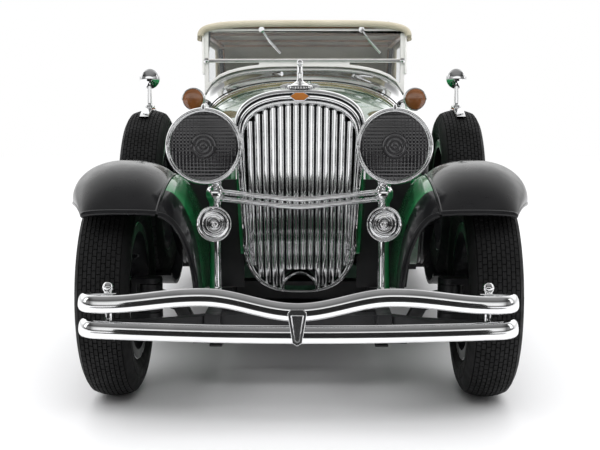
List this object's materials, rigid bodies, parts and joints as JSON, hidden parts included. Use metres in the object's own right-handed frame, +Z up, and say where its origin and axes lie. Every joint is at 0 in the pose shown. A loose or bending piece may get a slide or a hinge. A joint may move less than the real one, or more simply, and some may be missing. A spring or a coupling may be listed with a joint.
{
  "type": "diecast collector car",
  "caption": "1:18 scale long-bonnet convertible coupe with spoked wheels, side spares, cloth top, steering front wheels, and opening doors, bonnet and rear lid.",
  "frame": {"origin": "middle of the overall box, on the ground under the tyres", "axes": "+Z up; the car faces -Y; +X is the car's own left side, where the steering wheel is"},
  "size_m": [0.098, 0.31, 0.09],
  "materials": {
    "body_paint": "high gloss",
    "fender_paint": "high gloss",
    "board_mat": "ribbed matte",
    "chrome": "polished",
    "wheel_chrome": "polished",
    "tyre_rubber": "matte with tread",
    "chassis_black": "satin",
    "radiator_black": "matte",
    "badge_enamel": "gloss",
    "lens_glass": "ribbed",
    "screen_glass": "clear",
    "canvas": "woven",
    "bow_wood": "satin",
    "cabin_plastic": "satin",
    "seat_leather": "grained",
    "red_lens": "gloss",
    "engine_paint": "satin",
    "exhaust_iron": "dull",
    "screw_steel": "brushed"
  },
  "bodies": {
    "root": {"body_shell": "body_paint", "hood_sides": "body_paint", "inner_aprons": "body_paint", "fender_front_left": "fender_paint", "fender_front_right": "fender_paint", "rear_fenders": "fender_paint", "spare_wells": "fender_paint", "running_boards": "board_mat", "radiator_shell": "chrome", "radiator_grille": "chrome", "radiator_cap": "chrome", "hood_hinge_strip": "chrome", "headlamp_buckets": "chrome", "headlamp_rims": "chrome", "headlamp_bracket": "chrome", "horns": "chrome", "front_bumper_upper": "chrome", "front_bumper_lower": "chrome", "front_bumper_clamp": "chrome", "bumper_irons": "chrome", "rear_bumper": "chrome", "windshield_frame": "chrome", "wipers": "chrome", "spare_mirrors": "chrome", "cowl_lamps": "chrome", "spare_rims": "wheel_chrome", "spare_tyres": "tyre_rubber", "chassis_frame": "chassis_black", "front_axle_beam": "chassis_black", "leaf_springs": "chassis_black", "radiator_core": "radiator_black", "radiator_badge": "badge_enamel", "headlamp_lenses": "lens_glass", "windshield_glass": "screen_glass", "rear_window": "screen_glass", "soft_top": "canvas", "top_bows": "bow_wood", "floor_pan": "cabin_plastic", "dashboard": "cabin_plastic", "seats": "seat_leather", "tail_lamps": "red_lens", "engine": "engine_paint", "exhaust_system": "exhaust_iron", "chassis_screws": "screw_steel"},
    "steering_wheel": {"steering_wheel": "cabin_plastic"},
    "knuckle_left": {"knuckle_left": "chassis_black"},
    "knuckle_right": {"knuckle_right": "chassis_black"},
    "tie_rod": {"tie_rod": "chassis_black"},
    "wheel_front_left": {"tyre_front_left": "tyre_rubber", "rim_front_left": "wheel_chrome"},
    "wheel_front_right": {"tyre_front_right": "tyre_rubber", "rim_front_right": "wheel_chrome"},
    "rear_axle": {"rear_axle_rod": "chassis_black", "rear_tyres": "tyre_rubber", "rear_rims": "wheel_chrome"},
    "door_left": {"door_left": "body_paint"},
    "door_right": {"door_right": "body_paint"},
    "hood_top_left": {"hood_top_left": "body_paint"},
    "hood_top_right": {"hood_top_right": "body_paint"},
    "rumble_lid": {"rumble_lid": "body_paint"}
  },
  "joints": [
    {"name": "steer_left", "type": "hinge", "parent": "root", "child": "knuckle_left", "pos_m": [0.032, -0.117, 0.0225], "axis": [0, 0, 1], "range_deg": [-18, 18]},
    {"name": "steer_right", "type": "hinge", "parent": "root", "child": "knuckle_right", "pos_m": [-0.032, -0.117, 0.0225], "axis": [0, 0, 1], "range_deg": [-18, 18]},
    {"name": "tie_rod_shift", "type": "slide", "parent": "root", "child": "tie_rod", "axis": [1, 0, 0], "range_m": [-0.00252, 0.00252]},
    {"name": "steering_wheel_turn", "type": "hinge", "parent": "root", "child": "steering_wheel", "pos_m": [0.009, 0.008, 0.056], "axis": [0, 0.8192, 0.5736], "range_deg": [-54, 54]},
    {"name": "front_left_spin", "type": "hinge", "parent": "knuckle_left", "child": "wheel_front_left", "pos_m": [0.0392, -0.117, 0.0225], "axis": [1, 0, 0], "continuous": true},
    {"name": "front_right_spin", "type": "hinge", "parent": "knuckle_right", "child": "wheel_front_right", "pos_m": [-0.0392, -0.117, 0.0225], "axis": [1, 0, 0], "continuous": true},
    {"name": "rear_axle_spin", "type": "hinge", "parent": "root", "child": "rear_axle", "pos_m": [0, 0.084, 0.0225], "axis": [1, 0, 0], "continuous": true},
    {"name": "door_left_swing", "type": "hinge", "parent": "root", "child": "door_left", "pos_m": [0.0343, -0.0049, 0.045], "axis": [0, 0, -1], "range_deg": [0, 60]},
    {"name": "door_right_swing", "type": "hinge", "parent": "root", "child": "door_right", "pos_m": [-0.0343, -0.0049, 0.045], "axis": [0, 0, 1], "range_deg": [0, 60]},
    {"name": "hood_left_lift", "type": "hinge", "parent": "root", "child": "hood_top_left", "pos_m": [0.0015, -0.068, 0.0674], "axis": [0, -0.999, -0.0456], "range_deg": [0, 55]},
    {"name": "hood_right_lift", "type": "hinge", "parent": "root", "child": "hood_top_right", "pos_m": [-0.0015, -0.068, 0.0674], "axis": [0, 0.999, 0.0456], "range_deg": [0, 55]},
    {"name": "rumble_lid_lift", "type": "hinge", "parent": "root", "child": "rumble_lid", "pos_m": [0, 0.1044, 0.0548], "axis": [-1, 0, 0], "range_deg": [0, 75]}
  ],
  "couplings": [
    {"joint": "steer_right", "follows": "steer_left", "ratio": 1},
    {"joint": "tie_rod_shift", "follows": "steer_left", "m_per_rad": -0.008},
    {"joint": "steering_wheel_turn", "follows": "steer_left", "ratio": 3}
  ]
}
